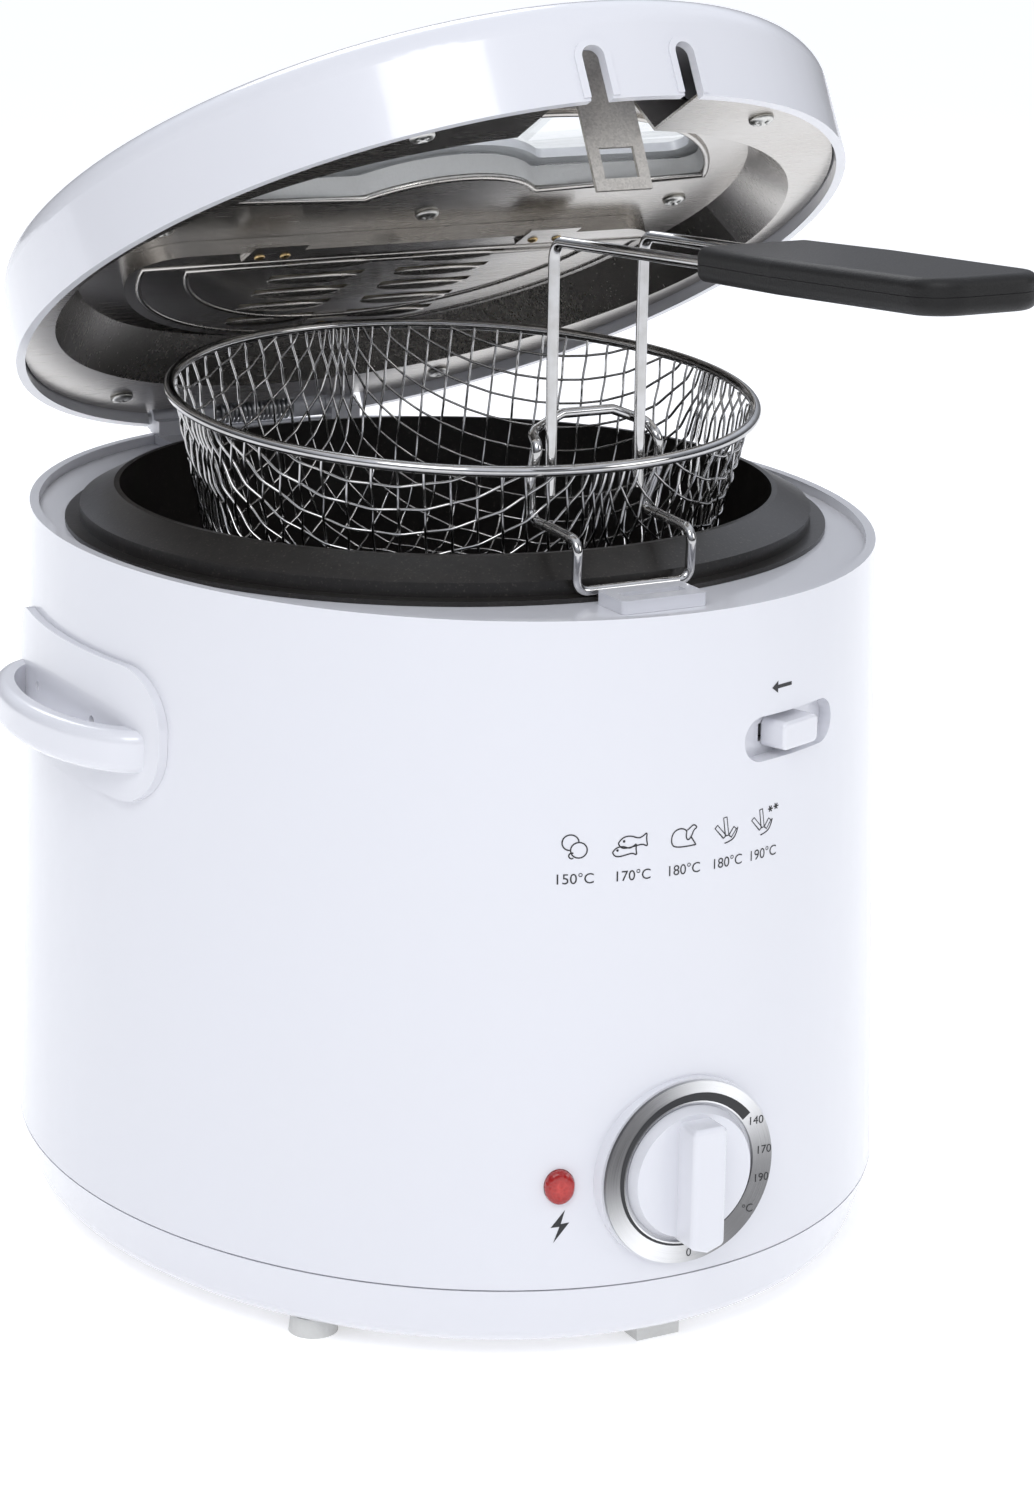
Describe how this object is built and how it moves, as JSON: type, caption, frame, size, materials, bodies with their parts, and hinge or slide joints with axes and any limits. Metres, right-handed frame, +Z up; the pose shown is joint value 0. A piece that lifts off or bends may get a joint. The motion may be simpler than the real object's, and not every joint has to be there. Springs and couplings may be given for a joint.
{
  "type": "deep fryer",
  "caption": "Compact deep fryer with an oval housing, dark fixed bowl, wire basket on a folding-grip handle, windowed hinged lid, side handles and a temperature dial.",
  "frame": {"origin": "middle of the housing's footprint on the worktop", "axes": "+Z up, the control panel looks along -Y, +X to the right of somebody who faces the panel"},
  "size_m": [0.2412, 0.3827, 0.3231],
  "materials": {
    "white_shell": "glossy white moulded plastic",
    "white_knob": "satin white plastic",
    "nonstick_bowl": "dark non-stick coating with a fine grain",
    "bare_sheet": "plain rolled sheet",
    "element_steel": "tubular heater sheath, heat darkened",
    "bare_steel": "drawn steel",
    "zinc_screws": "zinc plated",
    "foot_rubber": "pale rubber",
    "cord_rubber": "soft pale rubber",
    "dark_plastic": "black moulding",
    "brushed_ring": "circular brushed",
    "red_lens": "clear red lens",
    "lid_steel": "bright pressed sheet",
    "zinc_strip": "grainy zinc plated strip",
    "clear_glass": "clear",
    "seal_rubber": "grey rubber seal",
    "filter_felt": "fibre pad",
    "brass_rivets": "brass",
    "chrome_wire": "bright plated wire",
    "woven_wire": "woven wire",
    "black_grip": "matt black plastic"
  },
  "bodies": {
    "housing": {"outer_shell": "white_shell", "base_cover": "white_shell", "base_screws": "zinc_screws", "rubber_feet": "foot_rubber", "front_foot": "foot_rubber", "inner_bowl": "nonstick_bowl", "heat_shield": "bare_sheet", "heating_element": "element_steel", "element_clamp": "bare_sheet", "clamp_stud": "zinc_screws", "thermostat": "dark_plastic", "thermal_cutout": "dark_plastic", "terminal_block": "dark_plastic", "cord_gland": "cord_rubber", "dial_ring": "brushed_ring", "lamp_lens": "red_lens", "lamp_holder": "dark_plastic", "latch_receptacle": "white_shell", "side_handle_right": "white_shell", "side_handle_left": "white_shell", "handle_screws": "zinc_screws", "hinge_bracket": "white_shell", "hinge_pin": "bare_steel", "hinge_spring": "bare_steel", "drain_hook": "chrome_wire"},
    "lid": {"lid_shell": "white_shell", "lid_pan": "lid_steel", "lid_screws": "zinc_screws", "window_glass": "clear_glass", "window_gasket": "seal_rubber", "filter_cover": "lid_steel", "filter_pad": "filter_felt", "filter_tabs": "lid_steel", "filter_rivets": "brass_rivets", "latch_strip": "zinc_strip", "latch_screw": "zinc_screws", "lid_hinge_arm": "white_shell"},
    "basket": {"basket_mesh": "woven_wire", "basket_rim": "chrome_wire", "basket_bracket": "chrome_wire"},
    "handle": {"grip_lower": "black_grip", "grip_upper": "black_grip"},
    "wire_left": {"handle_wire_left": "chrome_wire"},
    "wire_right": {"handle_wire_right": "chrome_wire"},
    "control_knob": {"knob": "white_knob", "thermostat_shaft": "bare_steel"},
    "release": {"release_slider": "white_knob", "release_link": "dark_plastic"},
    "catch": {"latch_catch": "dark_plastic"}
  },
  "joints": [
    {"name": "lid_hinge", "type": "hinge", "parent": "housing", "child": "lid", "pos_m": [0, 0.122, 0.1905], "axis": [-1, 0, 0], "range_deg": [-27.6, 0], "stiffness_Nm_per_rad": 1.4, "springref_deg": 45.84},
    {"name": "basket_drop", "type": "slide", "parent": "housing", "child": "basket", "axis": [0, -0.124, 0.9923], "range_m": [-0.07256, 0]},
    {"name": "handle_lift", "type": "slide", "parent": "basket", "child": "handle", "axis": [0, 0, 1], "range_m": [0, 0.02]},
    {"name": "handle_squeeze_left", "type": "hinge", "parent": "handle", "child": "wire_left", "pos_m": [-0.0122, -0.159, 0.27228], "axis": [0, 0, -1], "range_deg": [0, 2.25], "stiffness_Nm_per_rad": 4},
    {"name": "handle_squeeze_right", "type": "hinge", "parent": "handle", "child": "wire_right", "pos_m": [0.0122, -0.159, 0.27228], "axis": [0, 0, -1], "range_deg": [-2.25, 0], "stiffness_Nm_per_rad": 4},
    {"name": "knob_turn", "type": "hinge", "parent": "housing", "child": "control_knob", "pos_m": [0, -0.13, 0.0485], "axis": [0, 1, 0], "range_deg": [0, 295]},
    {"name": "release_slide", "type": "slide", "parent": "housing", "child": "release", "axis": [-0.9403, -0.3404, 0], "range_m": [0, 0.004], "stiffness_N_per_m": 300, "springref_m": -0.003},
    {"name": "catch_slide", "type": "slide", "parent": "housing", "child": "catch", "axis": [0, -1, 0], "range_m": [0, 0.0048]}
  ],
  "couplings": [
    {"joint": "basket_drop", "follows": "lid_hinge", "m_per_rad": 0.15063},
    {"joint": "handle_squeeze_right", "follows": "handle_squeeze_left", "ratio": -1},
    {"joint": "catch_slide", "follows": "release_slide", "ratio": 1.2}
  ]
}
